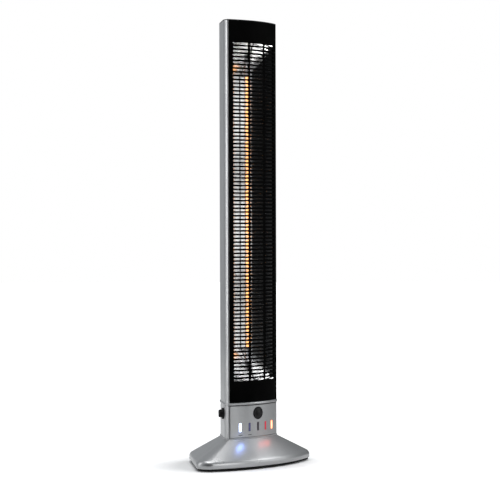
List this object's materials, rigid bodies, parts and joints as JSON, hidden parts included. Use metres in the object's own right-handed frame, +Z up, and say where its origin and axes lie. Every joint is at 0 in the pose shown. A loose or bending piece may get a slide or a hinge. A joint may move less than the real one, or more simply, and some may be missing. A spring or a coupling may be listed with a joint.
{
  "type": "free-standing infrared column heater",
  "caption": "Tall free-standing infrared heater: silver tapered column with a bowed black grille, quartz heating tube, control housing and a wide flared base.",
  "frame": {"origin": "centre of the plane that the heater stands on, in the middle of the overall box", "axes": "+Z up; the bowed front with the grille faces -Y; +X is to the right of somebody who looks at the front, and the heat selector is on -X"},
  "size_m": [0.329, 0.215, 0.98],
  "materials": {
    "silver_paint": "satin",
    "black_front": "gloss",
    "black_plastic": "matte",
    "button_black": "gloss",
    "white_plastic": "matte",
    "ballast_iron": "matte",
    "zinc_steel": "satin",
    "spring_steel": "satin",
    "rubber": "matte",
    "lens_white": "gloss",
    "lens_blue": "gloss",
    "lens_dark": "gloss",
    "lens_red": "gloss",
    "lens_amber": "gloss",
    "circuit_board": "satin",
    "led_package": "satin",
    "relay_blue": "matte",
    "polished_reflector": "polished",
    "quartz": "clear",
    "glowing_carbon": "matte",
    "ceramic": "matte",
    "lead_sleeve": "matte"
  },
  "bodies": {
    "heater": {"base_cover": "silver_paint", "base_plate": "black_plastic", "ballast_plate": "ballast_iron", "rubber_feet": "rubber", "base_screws": "zinc_steel", "support_post": "zinc_steel", "post_bolts": "zinc_steel", "tip_switch_body": "black_plastic", "tip_switch_spring": "spring_steel", "control_housing": "silver_paint", "control_panel": "silver_paint", "button_ring": "black_plastic", "button_spring": "spring_steel", "white_lens": "lens_white", "blue_lens": "lens_blue", "dark_lens": "lens_dark", "red_lens": "lens_red", "amber_lens": "lens_amber", "control_board": "circuit_board", "board_standoffs": "zinc_steel", "board_screws": "zinc_steel", "indicator_leds": "led_package", "button_switch": "black_plastic", "power_relay": "relay_blue", "terminal_block": "white_plastic", "rotary_switch": "black_plastic", "switch_nut": "zinc_steel", "cable_gland": "black_plastic", "gland_nut": "black_plastic", "bead_collar": "silver_paint", "column_shell": "silver_paint", "column_floor": "zinc_steel", "front_grille": "black_front", "top_cap": "black_plastic", "back_screws": "zinc_steel", "reflector": "polished_reflector", "reflector_end_low": "polished_reflector", "reflector_end_high": "polished_reflector", "quartz_tube": "quartz", "carbon_filament": "glowing_carbon", "tube_end_caps": "ceramic", "tube_holders": "zinc_steel", "heat_shield": "zinc_steel", "thermal_cutout": "black_plastic", "lead_wires": "lead_sleeve"},
    "selector": {"heat_knob": "black_plastic"},
    "button": {"push_button": "button_black"},
    "tip_plunger": {"tip_switch_plunger": "white_plastic"}
  },
  "joints": [
    {"name": "selector_turn", "type": "hinge", "parent": "heater", "child": "selector", "pos_m": [-0.06387, -0.02001, 0.1175], "axis": [-0.7992, 0.6011, 0], "range_deg": [0, 180]},
    {"name": "button_press", "type": "slide", "parent": "heater", "child": "button", "axis": [0, 1, 0], "range_m": [0, 0.002], "stiffness_N_per_m": 300, "springref_m": -0.002},
    {"name": "tip_plunger_drop", "type": "slide", "parent": "heater", "child": "tip_plunger", "axis": [0, 0, -1], "range_m": [0, 0.004], "stiffness_N_per_m": 150, "springref_m": 0.008, "deforming": ["tip_switch_spring"]}
  ]
}
